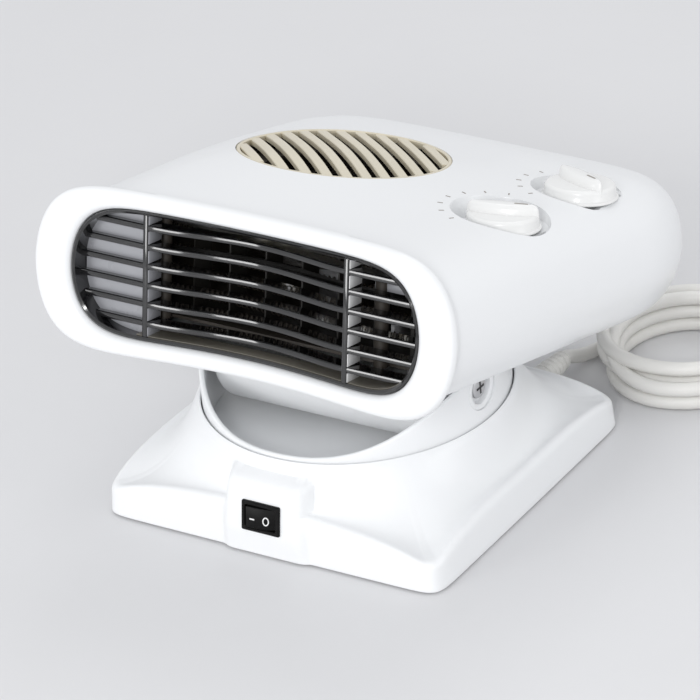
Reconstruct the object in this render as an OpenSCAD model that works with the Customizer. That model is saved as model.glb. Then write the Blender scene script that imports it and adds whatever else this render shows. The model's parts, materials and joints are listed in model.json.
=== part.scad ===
// Flat fan heater on an oscillating, tilting stand.
// Frame: origin on the floor at the centre of the stand, +Z up, the air outlet faces -Y.

/* [Stand] */
// Width of the stand's footprint
base_w = 186; // [180:1:200]
// Depth of the stand's footprint
base_d = 174; // [170:1:190]
// Height of the stand's rim at the middle of a side
rim_z = 22; // [20:1:26]
// Height of the collar that the turret turns in
collar_z = 47.4; // [46:0.1:49]
// Wall thickness of the moulded shells
wall = 2.6; // [2:0.1:3]
// Width of the switch pod on the front of the stand
pod_w = 52; // [48:1:60]
// Lean of the switch pod's face
pod_lean = 10.5; // [6:0.5:14]

/* [Turret] */
// Outer radius of the turret at the seam
turret_r = 74.7; // [74:0.1:75]
// Rise of the turret's cheeks over its front rim
cheek_rise = 25; // [20:1:26]
// Height of the tilt axis
pivot_z = 64; // [62:0.5:66]
// Distance of the tilt axis in front of the swing axis
pivot_y = -4.5; // [-6:0.5:-3]
// Distance from the swing axis to the crank motor's shaft
crank_dist = 38; // [36:1:40]

/* [Head] */
// Width of the head behind its bezel
head_w = 224; // [216:1:228]
// Height of the head behind its bezel
head_h = 71; // [68:1:74]
// Length of the head from front to back
head_len = 270; // [260:1:276]
// Lean of the head away from upright at rest
head_lean = 12.3; // [11:0.1:12.5]
// Width of the front bezel
bezel_w = 230; // [228:1:234]
// Height of the front bezel
bezel_h = 83; // [80:1:86]
// Width of the air outlet
outlet_w = 190; // [180:1:196]
// Height of the air outlet
outlet_h = 64; // [60:1:66]
// Radius of the round intake grille
intake_r = 52; // [48:1:53]
// Radius of the control knobs
knob_r = 18.5; // [16:0.5:20]

/* [Power cord] */
// Diameter of the power cord
cord_d = 7.2; // [6.5:0.1:8]
// Radius of the middle of the coiled cord
coil_r = 39.6; // [38:0.1:43]

/* [Hidden] */
$fn = 64;
foot_h = 1.2;
plate_t = 3;
plate_top = foot_h + plate_t;
head_wall = 2.2;
face_y = -91;
face_z = 137;
end_pow = 8.6;
side_pow = 1.9;
span_n = 24;
ring_n = 22;
turn_n = 72;
collar_in = turret_r + 0.6;
disc_z = 29;
disc_t = 3;
disc_top = disc_z + disc_t;
post_top = disc_z - 1.5;
spindle_r = 9;
crank_r = crank_dist / 2;
pin_r = 2.5;
arm_gap = 1.8;
neck_r = 30;
neck_half = 60;
lug_x = 65.5;
pillar_x = 68;
pad_r = 11;
pin_shaft_r = 3;
run_gap = 0.05;
switch_z = 22;
switch_y = -89.5;
fan_x = -28;
fan_y = 136;
wheel_r = 47;
wheel_z = -9;
wheel_h = 23;
scroll_r = 56;
duct_lo = -27;
duct_hi = 24;
heater_y = 40;
well_z = 24;
well_r = 24;
knob_places = [[77, 108], [83, 172]];
screw_places = [[78, 68], [-78, 68], [78, -68], [-78, -68]];
foot_places = [[66, 74], [-66, 74], [66, -74], [-66, -74]];
cord_exit = [45, 86, 10];
relief_len = 32;
coil_mid = [97, 150];
run_pts = [[45, 116, 10], [45, 120, 9], [45.5, 125, 6.5], [46.5, 130, 4.6], [48, 135, 3.7],
           [50, 140, 3.6], [52, 145, 3.6], [53.6, 150, 3.6]];
tail_pts = [[104, 193, 18], [112, 193, 18], [121, 192, 17.5], [128, 190.5, 16], [135, 187.5, 12.5],
            [141, 183.5, 8.5], [147, 178.5, 5.5], [152.5, 173, 5], [157, 167.5, 7.5],
            [159.5, 162.5, 11], [160, 158, 13.5]];
plug_at = [160, 158, 13.5];
head_screw_places = [[-60, 31], [60, 31], [-60, 215], [60, 215]];
turret_turns = [30, 150, 270];
neck_s = 96 / head_len;
neck_slope = head_lean - atan((-18.4 + 15.8 * neck_s) / head_len);

// ---- shared shapes ----
function mix(a, b, t) = a + (b - a) * t;
function clamp01(t) = min(max(t, 0), 1);
function fade(t, p) = pow(1 - pow(clamp01(t), p), 1 / p);

// Position across a half outline, 1 at the right end to -1 at the left end.
function across(i) = sin(90 * (1 - 2 * i / span_n));
function arch(u) = pow(max(0, 1 - pow(abs(u), end_pow)), 1 / side_pow);

// Closed oval with blunt round ends; dip pinches it at the middle.
function oval(w, h, dip = 0) = concat(
    [for (i = [0:span_n]) let (u = across(i)) [w * u, h * arch(u) * (1 - dip * pow(1 - u * u, 2))]],
    [for (i = [1:span_n - 1]) let (u = -across(i)) [w * u, -h * arch(u) * (1 - dip * pow(1 - u * u, 2))]]);

// Solid skinned over loops of equal length; wrap joins the last loop to the first.
// An end is closed by strips between point j and its opposite point n - 1 - j.
module skin(loops, wrap = false) {
    n = len(loops[0]);
    m = len(loops);
    top = (m - 1) * n;
    sides = [for (i = [0:(wrap ? m - 1 : m - 2)]) for (j = [0:n - 1])
        let (k = (j + 1) % n, near = i * n, far = ((i + 1) % m) * n)
        each [[near + j, near + k, far + k], [near + j, far + k, far + j]]];
    caps = wrap ? [] : [for (j = [0:n / 2 - 2]) let (k = n - 1 - j)
        each [[j, k, k - 1], [j, k - 1, j + 1],
              [top + j, top + j + 1, top + k - 1], [top + j, top + k - 1, top + k]]];
    polyhedron([for (l = loops) each l], concat(sides, caps), convexity = 10);
}

module along_x(x) { translate([x, 0, 0]) rotate([0, 90, 0]) children(); }
module along_y() { rotate([-90, 0, 0]) children(); }
module at_points(points) { for (p = points) translate(p) children(); }
module on_head() { translate([0, face_y, face_z]) rotate([-head_lean, 0, 0]) children(); }
module on_pivot() { translate([0, pivot_y, pivot_z]) children(); }
module on_switch() { translate([0, switch_y, switch_z]) rotate([-pod_lean, 0, 0]) children(); }
module both_sides() { for (s = [0, 1]) mirror([s, 0, 0]) children(); }
module round_plate(w, d, r, h) {
    linear_extrude(h) union() {
        square([w - 2 * r, d], center = true);
        square([w, d - 2 * r], center = true);
        for (x = [-1, 1]) for (y = [-1, 1]) translate([x * (w / 2 - r), y * (d / 2 - r)]) circle(r);
    }
}
module ring(r_out, r_in, h) {
    difference() {
        cylinder(r = r_out, h = h);
        translate([0, 0, -1]) cylinder(r = r_in, h = h + 2);
    }
}

// ---- stand ----
// Distance from the centre to the footprint's rounded outline in direction a.
function foot_r(a) =
    1 / pow(pow(abs(cos(a)) / (base_w / 2), 22) + pow(abs(sin(a)) / (base_d / 2), 22), 1 / 22);
function corner_part(a) = clamp01((foot_r(a) - base_d / 2) / 36);
function rim_at(a) = rim_z - 6 * pow(corner_part(a), 3) + 4 * max(0, -sin(a)) * (1 - corner_part(a));
function slope_r(a, s) = mix(collar_in + 1.9, foot_r(a) - 4, s);
function slope_z(a, s) = mix(rim_at(a), collar_z - 0.6, pow(1 - s, 2.3));
function base_loop(a) = [for (p = backwards(concat(
    [[collar_in, collar_z - 0.8], [collar_in + 0.9, collar_z]],
    [for (s = [0:0.125:1]) [slope_r(a, s), slope_z(a, s)]],
    [[foot_r(a) - 1.3, rim_at(a) - 1.3], [foot_r(a), rim_at(a) - 4.5], [foot_r(a) + 1, foot_h],
     [foot_r(a) + 1 - wall, foot_h], [foot_r(a) - wall, rim_at(a) - 5]],
    [for (s = [0.95, 0.8, 0.6, 0.45]) [slope_r(a, s) - 1.8, slope_z(a, s) - wall]],
    [[collar_in + 1.7, 34], [collar_in, 34]]))) [p[0] * cos(a), p[0] * sin(a), p[1]]];

// Rounded-off block on the front of the stand, down to height low; it stops short of the collar.
module pod_block(inset, low, back) {
    w = pod_w / 2 - inset;
    difference() {
        hull() {
            translate([-w, switch_y + inset, low]) cube([2 * w, back - 5, 7 - inset]);
            on_switch() translate([-w + 5, 0.4 + inset, -8]) cube([2 * w - 10, 12, 25 - inset]);
        }
        cylinder(r = collar_in + 1.5, h = 60);
    }
}

module base_shell() {
    color("white") difference() {
        union() {
            skin([for (i = [0:turn_n - 1]) base_loop(i * 360 / turn_n)], wrap = true);
            pod_block(0, foot_h, 20);
            for (p = screw_places) translate([p[0], p[1], plate_top])
                hull() cylinder(r = 4, h = 13, $fn = 32);
        }
        pod_block(wall, foot_h - 3, 34);
        for (p = screw_places) translate([p[0], p[1], foot_h]) hull() cylinder(r = 1.6, h = 14, $fn = 24);
        on_switch() translate([-9.6, -6, -6.6]) cube([19.2, 30, 13.2]);
        on_switch() translate([-10.6, -6, -7.6]) cube([21.2, 6.45, 15.2]);
        translate([cord_exit[0], 70, cord_exit[2]]) along_y() cylinder(r = 5.1, h = 30);
    }
}

module base_plate() {
    color("gainsboro") difference() {
        union() {
            translate([0, 0, foot_h]) round_plate(base_w - 7, base_d - 7, 8, plate_t);
            translate([0, 0, foot_h]) cylinder(r = 13.5, h = post_top - foot_h);
            both_sides() translate([26, crank_dist, plate_top]) cylinder(r = 4, h = 8);
        }
        translate([0, 0, -1]) cylinder(r = 11.6, h = 8);
        translate([0, 0, -1]) cylinder(r = spindle_r + run_gap, h = 40);
        for (p = screw_places) translate([p[0], p[1], -1]) {
            cylinder(r = 1.8, h = 10);
            cylinder(r = 3.5, h = 4);
        }
        both_sides() translate([26, crank_dist, plate_top + 0.5]) cylinder(r = 1.2, h = 9);
        for (x = [-50:10:50]) translate([x - 2, -60, -1]) cube([4, 34, 10]);
        both_sides() translate([pod_w / 2 - wall - 2.2, -90, -1]) cube([wall + 2.8, 20, 10]);
    }
}

module rubber_feet() {
    color("dimgray") for (p = foot_places) translate([p[0], p[1], 0]) cylinder(r = 7, h = foot_h);
}

// Closes the recess under the retaining ring and rests on the floor with the feet.
module spindle_cap() {
    color("dimgray") {
        cylinder(r = 14, h = foot_h);
        cylinder(r = 11.5, h = foot_h + 2);
    }
}

module base_screws() {
    color("silver") for (p = screw_places) translate([p[0], p[1], 0]) {
        translate([0, 0, foot_h + 0.2]) cylinder(r = 3.1, h = 1.6);
        translate([0, 0, foot_h + 1.8]) cylinder(r = 1.5, h = 11);
    }
}

module rocker_frame() {
    color("black") on_switch() difference() {
        union() {
            translate([-10.5, -1.6, -7.5]) cube([21, 2, 15]);
            translate([-9.5, 0.4, -6.5]) cube([19, 17, 13]);
        }
        translate([-8.5, -3, -5.5]) cube([17, 14, 11]);
    }
}

module rocker() {
    color("black") on_switch() translate([0, 3.4, 0]) rotate([0, 0, 9]) difference() {
        linear_extrude(10.6, center = true)
            polygon([[-7.7, -4.6], [-4, -5.2], [0, -5.5], [4, -5.2], [7.7, -4.6],
                     [7.4, -1], [2, 1.6], [-2, 1.6], [-7.4, -1]]);
        translate([0, 0, -6]) cylinder(r = 1, h = 12);
    }
}

module switch_contacts() {
    color("goldenrod") on_switch() for (x = [-6, 0, 6]) translate([x - 0.4, 17.4, -3.1]) cube([0.8, 7, 6.2]);
}

module swing_motor() {
    color("silver") translate([0, crank_dist, plate_top]) {
        difference() {
            union() {
                cylinder(r = 19, h = 14);
                translate([-31, -4, 8]) cube([62, 8, 1.2]);
            }
            for (x = [-1, 1]) translate([x * 26, 0, 7]) cylinder(r = 1.6, h = 4);
            translate([0, 0, 10.5]) cylinder(r = 2.5 + run_gap, h = 10);
        }
        translate([0, 0, 14]) ring(5, 2.5 + run_gap, 1.5);
    }
}

module motor_screws() {
    color("silver") translate([0, crank_dist, plate_top]) for (x = [-1, 1]) translate([x * 26, 0, 0]) {
        translate([0, 0, 9.2]) cylinder(r = 3, h = 1.8);
        translate([0, 0, 2]) cylinder(r = 1.2, h = 7.2);
    }
}

module crank_arm() {
    color("whitesmoke") translate([0, crank_dist, plate_top + 15.8]) {
        translate([0, 0, -4.5]) cylinder(r = 2.5, h = 4.5);
        cylinder(r = 6, h = 3);
        translate([-4, 0, 0]) cube([8, crank_r, 3]);
        translate([0, crank_r, 0]) cylinder(r = 4, h = 3);
        translate([0, crank_r, 3]) cylinder(r = pin_r, h = disc_z - 0.7 - plate_top - 18.8);
    }
}

module thrust_washer() {
    color("ivory") translate([0, 0, post_top]) ring(15, spindle_r + 0.4, disc_z - post_top);
}

// ---- turret ----
module turntable() {
    color("whitesmoke") difference() {
        union() {
            translate([0, 0, disc_z]) cylinder(r = turret_r - 0.4, h = disc_t);
            translate([0, 0, 3.6]) cylinder(r = spindle_r, h = disc_z - 3.6);
            both_sides() translate([pin_r + arm_gap, 28, disc_z - 5]) cube([2.5, 38, 5]);
        }
        translate([0, 0, 2]) cylinder(r = 5, h = 40);
        translate([0, 0, 4.8]) ring(12, 7.5, 1.3);
        for (a = turret_turns) rotate(a) translate([pillar_x, 0, disc_z - 1]) cylinder(r = 1.7, h = 5);
    }
}

module retaining_ring() {
    color("silver") translate([0, 0, 4.9]) difference() {
        ring(11.2, 7.6, 1.1);
        translate([0, -2.5, -1]) cube([14, 5, 4]);
    }
}

function cheek_z(a) = min(collar_z + 1.4 + cheek_rise * pow(abs(cos(a)), 3.2),
                          pivot_z + 8 - 0.28 * max(0, turret_r * sin(a) - pivot_y));
function turret_loop(a) = [for (p = [
    [turret_r, disc_top], [turret_r, cheek_z(a) - 1.2], [turret_r - 0.4, cheek_z(a) - 0.3],
    [turret_r - 1.2, cheek_z(a)], [turret_r - wall, cheek_z(a) - 0.8], [turret_r - wall - 0.4, collar_z - 5],
    [turret_r - wall - 0.4, disc_top]]) [p[0] * cos(a), p[0] * sin(a), p[1]]];

module turret_shell() {
    color("white") difference() {
        union() {
            skin([for (i = [0:turn_n - 1]) turret_loop(i * 360 / turn_n)], wrap = true);
            for (a = turret_turns) rotate(a) translate([pillar_x, 0, disc_top])
                hull() cylinder(r = 4, h = 6, $fn = 32);
        }
        both_sides() on_pivot() along_x(60) hull() cylinder(r = pad_r + 0.02, h = 20);
        for (a = turret_turns) rotate(a) translate([pillar_x, 0, disc_top - 1])
            hull() cylinder(r = 1.35, h = 6, $fn = 24);
    }
}

module turret_screws() {
    color("silver") for (a = turret_turns) rotate(a) translate([pillar_x, 0, 0]) {
        translate([0, 0, disc_z - 1.6]) cylinder(r = 3, h = 1.6);
        translate([0, 0, disc_z]) cylinder(r = 1.3, h = 7);
    }
}

module pivot_bushes() {
    color("white") both_sides() on_pivot() difference() {
        along_x(66.2) cylinder(r = pad_r, h = 7.2);
        along_x(60) cylinder(r = pin_shaft_r + run_gap, h = 20);
        along_x(70.4) cylinder(r = 8, h = 10);
    }
}

module pivot_screws() {
    color("silver") both_sides() on_pivot() difference() {
        union() {
            along_x(58) cylinder(r = pin_shaft_r, h = 12.8);
            along_x(70.8) cylinder(r = 5.6, h = 2);
        }
        along_x(71.8) cube([1.2, 7, 4], center = true);
        along_x(71.8) cube([7, 1.2, 4], center = true);
    }
}

// ---- head ----
function body_w(s) = head_w / 2 * (1 + 0.08 * s * s) * mix(0.29, 1, fade((s - 0.67) / 0.33, 2.2));
function body_top(s) = head_h / 2 - 7.9 * s - 3.7 * s * s;
function body_bot(s) = -head_h / 2 - 18.4 * s + 7.9 * s * s;
function body_mid(s) = (body_top(s) + body_bot(s)) / 2;
function body_h(s) = (body_top(s) - body_bot(s)) / 2 * fade((s - 0.74) / 0.26, 2.2);
function crown(x, y) = 8 * exp(-(pow(x - fan_x, 2) + pow(y - 115, 2)) / 5000);

// One half of the body's section: side is 1 for the top and -1 for the bottom.
function swell(x, y, a, h) = crown(x, y) * clamp01(2 * a) * clamp01(h / 20);
function half_section(s, side, w, h) = [for (i = [0:span_n])
    let (u = across(i), x = w * u, y = s * head_len)
    [x, y, body_mid(s) + side * h * arch(u) + (side > 0 ? swell(x, y, arch(u), h) : 0)]];
function backwards(list) = [for (i = [len(list) - 1:-1:0]) list[i]];
function shell_loop(s, side) =
    let (outer = half_section(s, side, body_w(s), body_h(s)),
         inner_h = max(0, body_h(min(1, s + head_wall / head_len)) - head_wall),
         inner = half_section(s, side, body_w(s) - head_wall, inner_h))
    side > 0 ? concat(outer, backwards(inner)) : concat(backwards(outer), inner);
function body_station(i) =
    i < 15 ? mix(0.052, 0.78, i / 15) : 0.998 - 0.218 * pow((ring_n - i) / (ring_n - 15), 2);
module body_shell(side) { skin([for (i = [0:ring_n]) shell_loop(body_station(i), side)]); }
module body_solid() {
    skin([for (i = [0:ring_n]) let (s = body_station(i))
        let (low = half_section(s, -1, body_w(s), body_h(s)))
        concat(half_section(s, 1, body_w(s), body_h(s)), [for (i = [span_n - 1:-1:1]) low[i]])]);
}

// The screw posts of the head: heads sit in the lower half, threads bite in the upper one.
module at_head_screws(up) {
    for (p = head_screw_places) translate([p[0], p[1], body_bot(p[1] / head_len) + up]) children();
}

module head_lower_shell() {
    color("white") on_head() difference() {
        union() {
            body_shell(-1);
            at_head_screws(1) hull() cylinder(r = 3.8, h = 9, $fn = 32);
        }
        at_head_screws(-5) hull() cylinder(r = 3, h = 11, $fn = 32);
        at_head_screws(-5) hull() cylinder(r = 1.6, h = 30, $fn = 24);
    }
}

// Round recess that widens upwards, for a knob at p.
module dish(p, grow, low, high) {
    translate([p[0], p[1], 0]) hull() {
        translate([0, 0, low]) cylinder(r = well_r - 2 + grow, h = 0.5, $fn = 40);
        translate([0, 0, high]) cylinder(r = well_r + 2 + grow, h = 0.5, $fn = 40);
    }
}

module head_upper_shell() {
    color("white") on_head() difference() {
        union() {
            difference() {
                body_shell(1);
                for (p = knob_places) dish(p, 0, well_z, well_z + 14);
            }
            for (p = knob_places) intersection() {
                difference() {
                    dish(p, 2, well_z - 2, well_z + 12);
                    dish(p, 0, well_z, well_z + 14);
                }
                body_solid();
            }
            intersection() {
                at_head_screws(24) hull() cylinder(r = 3.4, h = 60, $fn = 32);
                body_solid();
            }
        }
        at_head_screws(22) hull() cylinder(r = 1.55, h = 20, $fn = 24);
        translate([fan_x, fan_y, 37.4]) rotate([-5, 0, 0]) translate([0, 0, -27])
            cylinder(r = intake_r + 0.4, h = 60, $fn = 72);
        for (p = knob_places) translate([p[0], p[1], 10]) hull() cylinder(r = 5, h = 20, $fn = 24);
    }
}

// Front edge of the bezel: the middle is set back from the two ends.
function face_at(x) = 10 * pow(1 - pow(min(1, abs(x) / (bezel_w / 2)), 2), 2);
function bezel_loop(i) =
    let (lip = oval(outlet_w / 2 + 0.5, outlet_h / 2 + 0.5, 0.04)[i],
         rim = oval(bezel_w / 2, bezel_h / 2, 0.04)[i])
    [for (p = [[lip, 3], [mix(lip, rim, 0.15), 0.8], [mix(lip, rim, 0.4), 0], [mix(lip, rim, 0.7), 0.3],
               [mix(lip, rim, 0.93), 2.2], [rim, 5.5]]) [p[0][0], face_at(p[0][0]) + p[1], p[0][1]]];
function bezel_back(i) =
    let (lip = oval(outlet_w / 2 + 0.5, outlet_h / 2 + 0.5, 0.04)[i],
         sleeve = oval(outlet_w / 2 + 2.3, outlet_h / 2 + 1.3, 0.04)[i],
         joint = oval(body_w(0.052), body_h(0.052))[i],
         inner = oval(body_w(0.052) - wall, body_h(0.052) - wall)[i],
         web = mix(sleeve, inner, 0.35))
    [[joint[0], 0.052 * head_len, joint[1] + body_mid(0.052)],
     [inner[0], 0.052 * head_len, inner[1] + body_mid(0.052)],
     [web[0], 13, web[1]], [sleeve[0], 16, sleeve[1]], [sleeve[0], 27, sleeve[1]], [lip[0], 27, lip[1]]];

module front_bezel() {
    color("white") on_head()
        skin([for (i = [0:2 * span_n - 1]) backwards(concat(bezel_loop(i), bezel_back(i)))], wrap = true);
}

function slat_y(x) = 11 + 7 * pow(1 - pow(min(1, abs(x) / 54), 2), 2);
module slat(z) {
    half = outlet_w / 2 * pow(1 - pow(abs(z) / (outlet_h / 2), side_pow), 1 / end_pow) - 1;
    xs = [for (i = [0:24]) mix(-half, half, i / 24)];
    translate([0, 0, z - 1.1]) linear_extrude(2.2)
        polygon(concat([for (x = xs) [x, slat_y(x)]], backwards([for (x = xs) [x, slat_y(x) + 9]])));
}
module front_grille() {
    color("black") on_head() {
        for (i = [-2.5:1:2.5]) slat(i * 9.37);
        for (x = [-54, 54]) translate([x - 1.7, 10, -30.5]) cube([3.4, 12, 61]);
        translate([0, 24, 0]) rotate([90, 0, 0]) linear_extrude(10.5) difference() {
            polygon(oval(outlet_w / 2 + 0.2, outlet_h / 2 + 0.2, 0.04));
            polygon(oval(outlet_w / 2 - 1.6, outlet_h / 2 - 1.6, 0.04));
        }
    }
}

module intake_grille() {
    color("antiquewhite") on_head() translate([fan_x, fan_y, 37.4]) rotate([-5, 0, 0]) translate([0, 0, -4]) {
        ring(intake_r, intake_r - 2.5, 4);
        intersection() {
            rotate(38) for (x = [-44:8:44]) translate([x - 2, -60, 0]) cube([4, 120, 3.4]);
            cylinder(r = intake_r - 2, h = 4);
        }
        cylinder(r = 9, h = 3.6);
    }
}

module duct_outline(t) {
    union() {
        translate([fan_x, fan_y]) circle(scroll_r - t);
        polygon([[-92 + t, 36], [92 - t, 36], [fan_x + scroll_r - t, fan_y], [fan_x - scroll_r + t, fan_y]]);
    }
}
module air_duct() {
    color("lightgray") on_head() difference() {
        translate([0, 0, duct_lo]) linear_extrude(duct_hi - duct_lo) duct_outline(0);
        translate([0, 0, duct_lo + 1.5]) linear_extrude(duct_hi - duct_lo - 3) duct_outline(1.8);
        translate([-90.2, 20, duct_lo + 1.5]) cube([180.4, 18, duct_hi - duct_lo - 3]);
        translate([fan_x, fan_y, 0]) cylinder(r = wheel_r - 5, h = 40);
        translate([fan_x, fan_y, -40]) cylinder(r = 22, h = 30);
    }
}

module heater_frame() {
    color("khaki") on_head() {
        difference() {
            translate([-72, heater_y, -24]) cube([144, 16, 44]);
            translate([-70, heater_y - 1, -22]) cube([140, 18, 40]);
        }
        for (x = [-50:20:50]) translate([x - 0.4, heater_y + 1, -22]) cube([0.8, 14, 40]);
    }
}
module heater_coils() {
    color("silver") on_head() for (z = [-17, -7, 3, 13]) for (x = [-70:20:50])
        translate([x + 0.6, heater_y + 8, z]) rotate([0, 90, 0]) cylinder(r = 2.6, h = 18.2);
}
module thermal_cutout() {
    color("silver") on_head() translate([48, heater_y + 25.5, -25]) {
        cylinder(r = 8, h = 5);
        translate([0, 0, 5]) cylinder(r = 6, h = 4);
    }
}

module fan_motor() {
    color("silver") on_head() translate([fan_x, fan_y, -35]) {
        difference() {
            union() {
                cylinder(r = 20, h = 20);
                translate([0, 0, 20]) cylinder(r = 7, h = 3);
            }
            translate([0, 0, 1]) cylinder(r = 2.5 + run_gap, h = 30);
        }
    }
}
module motor_bracket() {
    color("silver") on_head() translate([fan_x, fan_y, -36.5]) difference() {
        union() {
            cylinder(r = 22, h = 1.5);
            for (a = [90, 210, 330]) rotate(a) translate([0, -5, 0]) cube([46, 10, 1.5]);
        }
        for (a = [90, 210, 330]) rotate(a) translate([40, 0, -1]) cylinder(r = 1.7, h = 4);
    }
}
module fan_shaft() {
    color("gray") on_head() translate([fan_x, fan_y, -33.8]) cylinder(r = 2.5, h = 38);
}
module fan_wheel() {
    color("darkslategray") on_head() translate([fan_x, fan_y, wheel_z]) {
        difference() {
            union() {
                cylinder(r = wheel_r, h = 1.6);
                cylinder(r = 7, h = 12);
            }
            translate([0, 0, -1]) cylinder(r = 2.5, h = 20);
        }
        translate([0, 0, wheel_h - 1.5]) ring(wheel_r, wheel_r - 8, 1.5);
        for (i = [0:23]) rotate(i * 15) translate([wheel_r - 10, 0, 1.6]) rotate(35)
            translate([0, -0.6, 0]) cube([10, 1.2, wheel_h - 2.6]);
    }
}

module control_body(p, w, d, h) {
    on_head() translate([p[0], p[1], 0]) difference() {
        union() {
            translate([-w / 2, -d / 2, well_z - 2.2 - h]) cube([w, d, h]);
            translate([0, 0, well_z - 2.2]) cylinder(r = 4.6, h = 2.6);
        }
        translate([0, 0, well_z - 12]) cylinder(r = 3 + run_gap, h = 20);
    }
}
module thermostat_body() { color("ivory") control_body(knob_places[0], 26, 28, 15); }
module selector_body() { color("dimgray") control_body(knob_places[1] - [1, 0], 24, 28, 17); }
module knob(p, turn) {
    on_head() translate([p[0], p[1], 0]) {
        translate([0, 0, well_z - 11]) cylinder(r = 3, h = 13);
        translate([0, 0, well_z + 0.8]) cylinder(r = knob_r, h = 2.4);
        translate([0, 0, well_z + 3.2]) cylinder(r = knob_r - 1.6, h = 5.6);
        rotate(turn) translate([-knob_r + 2.5, -4.2, well_z + 8]) cube([2 * knob_r - 5, 8.4, 5]);
    }
}
module thermostat_knob() { color("white") knob(knob_places[0], 20); }
module selector_knob() { color("white") knob(knob_places[1] - [1, 0], -25); }

module tilt_neck() {
    color("white") difference() {
        on_pivot() union() {
            difference() {
                along_x(-neck_half) cylinder(r = neck_r, h = 2 * neck_half);
                along_x(-neck_half + wall) cylinder(r = neck_r - wall, h = 2 * neck_half - 2 * wall);
            }
            both_sides() along_x(neck_half - 1) cylinder(r = 9, h = lug_x - neck_half + 1);
        }
        on_head() translate([0, neck_s * head_len, body_bot(neck_s) - 0.2])
            rotate([head_lean - neck_slope, 0, 0]) translate([-100, -100, 0]) cube([200, 200, 60]);
        both_sides() on_pivot() along_x(50) cylinder(r = pin_shaft_r, h = 20);
    }
}

module head_screws() {
    color("silver") on_head() at_head_screws(4) {
        cylinder(r = 2.9, h = 2);
        translate([0, 0, 2]) cylinder(r = 1.5, h = 30);
    }
}

module terminal_block() {
    color("ivory") translate([28, 62, plate_top]) difference() {
        cube([30, 12, 12]);
        for (x = [5, 15, 25]) translate([x, -1, 6]) along_y() cylinder(r = 1.8, h = 14);
    }
}
module base_wiring() {
    color("saddlebrown") for (z = [7, 9.5]) {
        translate([20.6, -60, z]) along_y() cylinder(r = 1, h = 118);
        translate([-4, -60, z]) rotate([0, 90, 0]) cylinder(r = 1, h = 24.6);
    }
}
module head_wiring() {
    color("firebrick") on_head() for (z = [-10, -6])
        translate([96, 66, z]) along_y() cylinder(r = 1, h = 118);
}

// ---- power cord ----
module strain_relief() {
    color("whitesmoke") translate(cord_exit - [0, 4, 0]) along_y() rotate_extrude()
        polygon([[0, 0], [5.7, 0], [5.7, 2], [5, 2.6], [5, 6], [7.4, 6.6], [7.2, 9], [6, 10],
                 [5, relief_len + 2], [0, relief_len + 2]]);
}

function unit(v) = v / norm(v);
function tangent(pts, i) = unit(pts[min(i + 1, len(pts) - 1)] - pts[max(i - 1, 0)]);
function side_dir(t) = unit(cross(t, [0, 0, 1]));
function tube_ring(pts, i, r) =
    let (t = tangent(pts, i), a = side_dir(t), b = cross(a, t))
    [for (k = [0:7]) pts[i] + r * (cos(45 * k) * a + sin(45 * k) * b)];
module tube(pts, r) { skin([for (i = [0:len(pts) - 1]) tube_ring(pts, i, r)]); }
module cord_run() { color("white") tube(run_pts, cord_d / 2); }
module cord_tail() { color("white") tube(tail_pts, cord_d / 2); }
module cord_coil() {
    color("white") translate([coil_mid[0], coil_mid[1], 0]) rotate_extrude()
        translate([coil_r - cord_d, 0]) square([2 * cord_d, 3 * cord_d]);
}
module plug_body() {
    color("white") translate(plug_at) rotate([90, 0, 0]) {
        cylinder(r = 5.5, h = 10);
        translate([0, 0, 10]) cylinder(r = 13.5, h = 26);
    }
}
module plug_pins() {
    color("silver") translate(plug_at - [0, 36, 0]) for (x = [-9.5, 9.5])
        translate([x, 0, 0]) rotate([90, 0, 0]) cylinder(r = 2.4, h = 19);
}

base_shell();
base_plate();
rubber_feet();
base_screws();
rocker_frame();
rocker();
switch_contacts();
swing_motor();
motor_screws();
crank_arm();
thrust_washer();
turntable();
retaining_ring();
turret_shell();
turret_screws();
pivot_bushes();
pivot_screws();
tilt_neck();
head_lower_shell();
head_upper_shell();
front_bezel();
front_grille();
intake_grille();
air_duct();
heater_frame();
heater_coils();
thermal_cutout();
fan_motor();
motor_bracket();
fan_shaft();
fan_wheel();
thermostat_body();
selector_body();
thermostat_knob();
selector_knob();
head_screws();
terminal_block();
base_wiring();
head_wiring();
strain_relief();
cord_run();
cord_coil();
cord_tail();
plug_body();
plug_pins();
spindle_cap();
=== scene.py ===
"""A flat fan heater on an oscillating, tilting stand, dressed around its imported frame."""
import math

import bpy
import bmesh
import numpy as np
from mathutils import Matrix, Vector
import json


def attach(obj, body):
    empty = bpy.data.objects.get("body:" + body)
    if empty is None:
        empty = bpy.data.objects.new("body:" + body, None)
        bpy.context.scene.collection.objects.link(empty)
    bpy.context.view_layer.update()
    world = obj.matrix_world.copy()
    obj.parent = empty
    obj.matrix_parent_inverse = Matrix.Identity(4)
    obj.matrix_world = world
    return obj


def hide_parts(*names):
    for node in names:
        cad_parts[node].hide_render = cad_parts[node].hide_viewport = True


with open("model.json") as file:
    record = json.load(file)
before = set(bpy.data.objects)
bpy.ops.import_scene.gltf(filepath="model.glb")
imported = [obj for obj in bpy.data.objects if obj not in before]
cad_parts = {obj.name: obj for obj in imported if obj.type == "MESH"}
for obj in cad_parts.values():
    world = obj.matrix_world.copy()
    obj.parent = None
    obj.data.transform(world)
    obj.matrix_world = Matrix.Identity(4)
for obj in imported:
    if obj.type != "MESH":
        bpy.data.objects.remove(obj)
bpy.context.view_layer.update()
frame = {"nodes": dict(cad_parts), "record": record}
MM = 0.001
FULL_TURN = 2 * math.pi

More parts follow.
